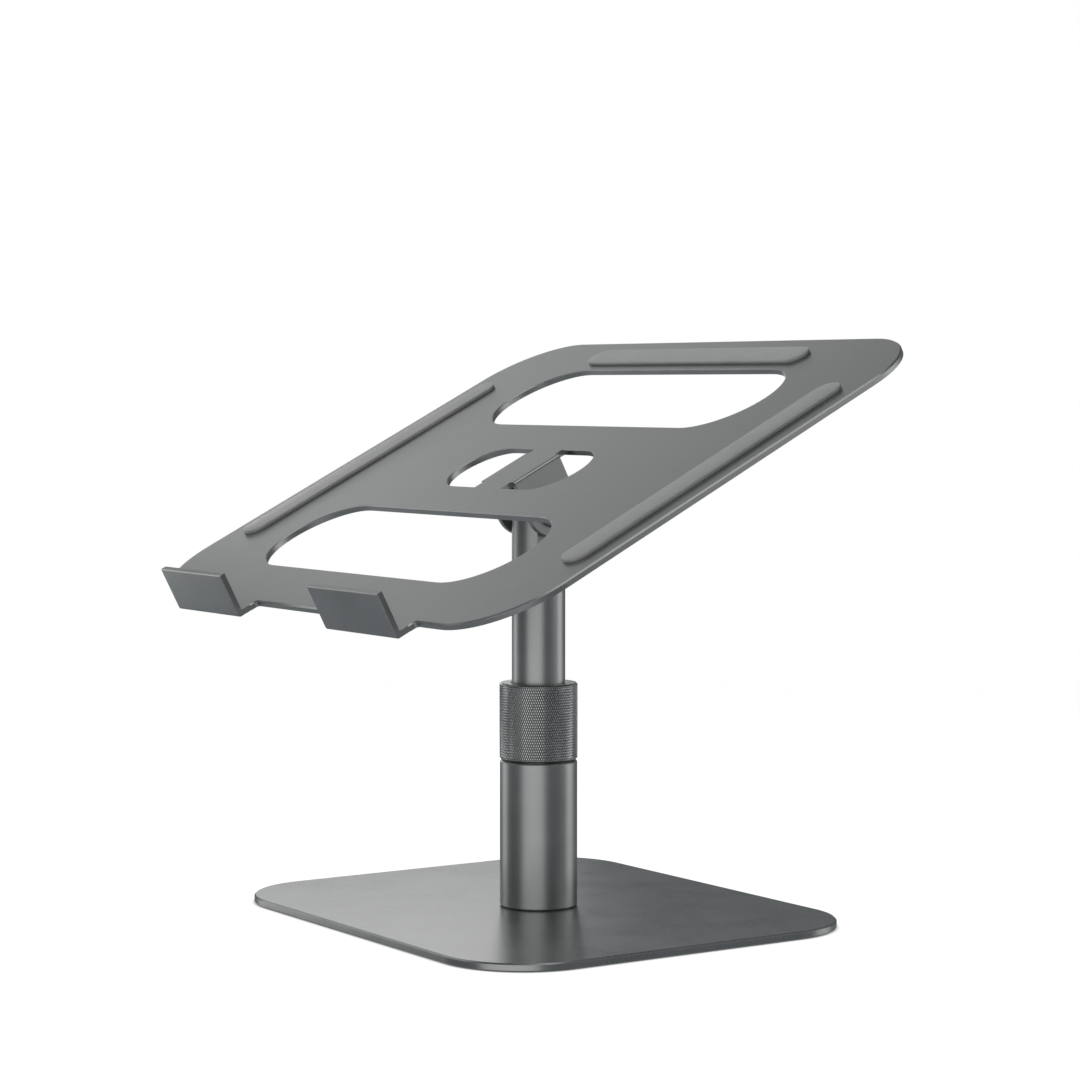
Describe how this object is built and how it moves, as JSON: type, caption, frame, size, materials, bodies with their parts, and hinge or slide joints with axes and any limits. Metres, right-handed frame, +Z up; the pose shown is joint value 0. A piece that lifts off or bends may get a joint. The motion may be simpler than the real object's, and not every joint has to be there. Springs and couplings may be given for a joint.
{
  "type": "laptop stand",
  "caption": "Height-adjustable laptop stand with flat base, telescoping twist-lock post, friction tilt hinge and slotted sheet tray with front hooks.",
  "frame": {"origin": "on the floor, under the middle of the base and on the post's axis", "axes": "+Z up along the post, front hooks towards -Y, tilt hinge and longest side along X"},
  "size_m": [0.28, 0.225, 0.2385],
  "materials": {
    "anodised_grey": "fine bead-blasted, anodised space grey",
    "powder_grey": "fine satin space grey",
    "knurled_grey": "diamond knurled, anodised space grey",
    "silicone_grey": "matt light grey silicone",
    "foot_black": "matt black foam rubber",
    "acetal_white": "plain moulded acetal",
    "acetal_black": "plain moulded acetal",
    "steel_plain": "plain zinc-plated steel",
    "steel_dark": "black oxide steel"
  },
  "bodies": {
    "base": {"base_plate": "powder_grey", "base_pad": "foot_black", "base_screws": "steel_dark", "foot_plug": "steel_plain", "outer_tube": "anodised_grey", "guide_bush": "acetal_white", "collet": "acetal_white"},
    "thrust": {"thrust_ring": "steel_plain"},
    "collar": {"lock_collar": "knurled_grey"},
    "carriage": {"slide_ring": "acetal_white"},
    "mast": {"inner_tube": "anodised_grey", "retaining_clip": "steel_dark", "mast_end_plug": "acetal_black", "hinge_head": "anodised_grey", "head_set_screw": "steel_dark", "friction_washer_left": "acetal_black", "friction_washer_right": "acetal_black"},
    "tray": {"tray": "anodised_grey", "tray_pad_left": "silicone_grey", "tray_pad_right": "silicone_grey", "tray_pad_back": "silicone_grey", "hook_pad_left": "silicone_grey", "hook_pad_right": "silicone_grey", "hinge_bolt": "anodised_grey", "hinge_nut": "anodised_grey", "disc_springs": "steel_plain"}
  },
  "joints": [
    {"name": "collar_lift", "type": "slide", "parent": "base", "child": "thrust", "axis": [0, 0, 1], "range_m": [0, 0.00066667]},
    {"name": "collar_turn", "type": "hinge", "parent": "thrust", "child": "collar", "pos_m": [0, 0, 0.0807], "axis": [0, 0, 1], "range_deg": [0, 120]},
    {"name": "height", "type": "slide", "parent": "base", "child": "carriage", "axis": [0, 0, 1], "range_m": [-0.048, 0.008]},
    {"name": "swivel", "type": "hinge", "parent": "carriage", "child": "mast", "pos_m": [0, 0, 0.1], "axis": [0, 0, 1], "continuous": true},
    {"name": "tilt", "type": "hinge", "parent": "mast", "child": "tray", "pos_m": [0, 0, 0.17], "axis": [1, 0, 0], "range_deg": [-27, 18]}
  ],
  "couplings": [
    {"joint": "collar_lift", "follows": "collar_turn", "m_per_rad": 0.00031831}
  ]
}
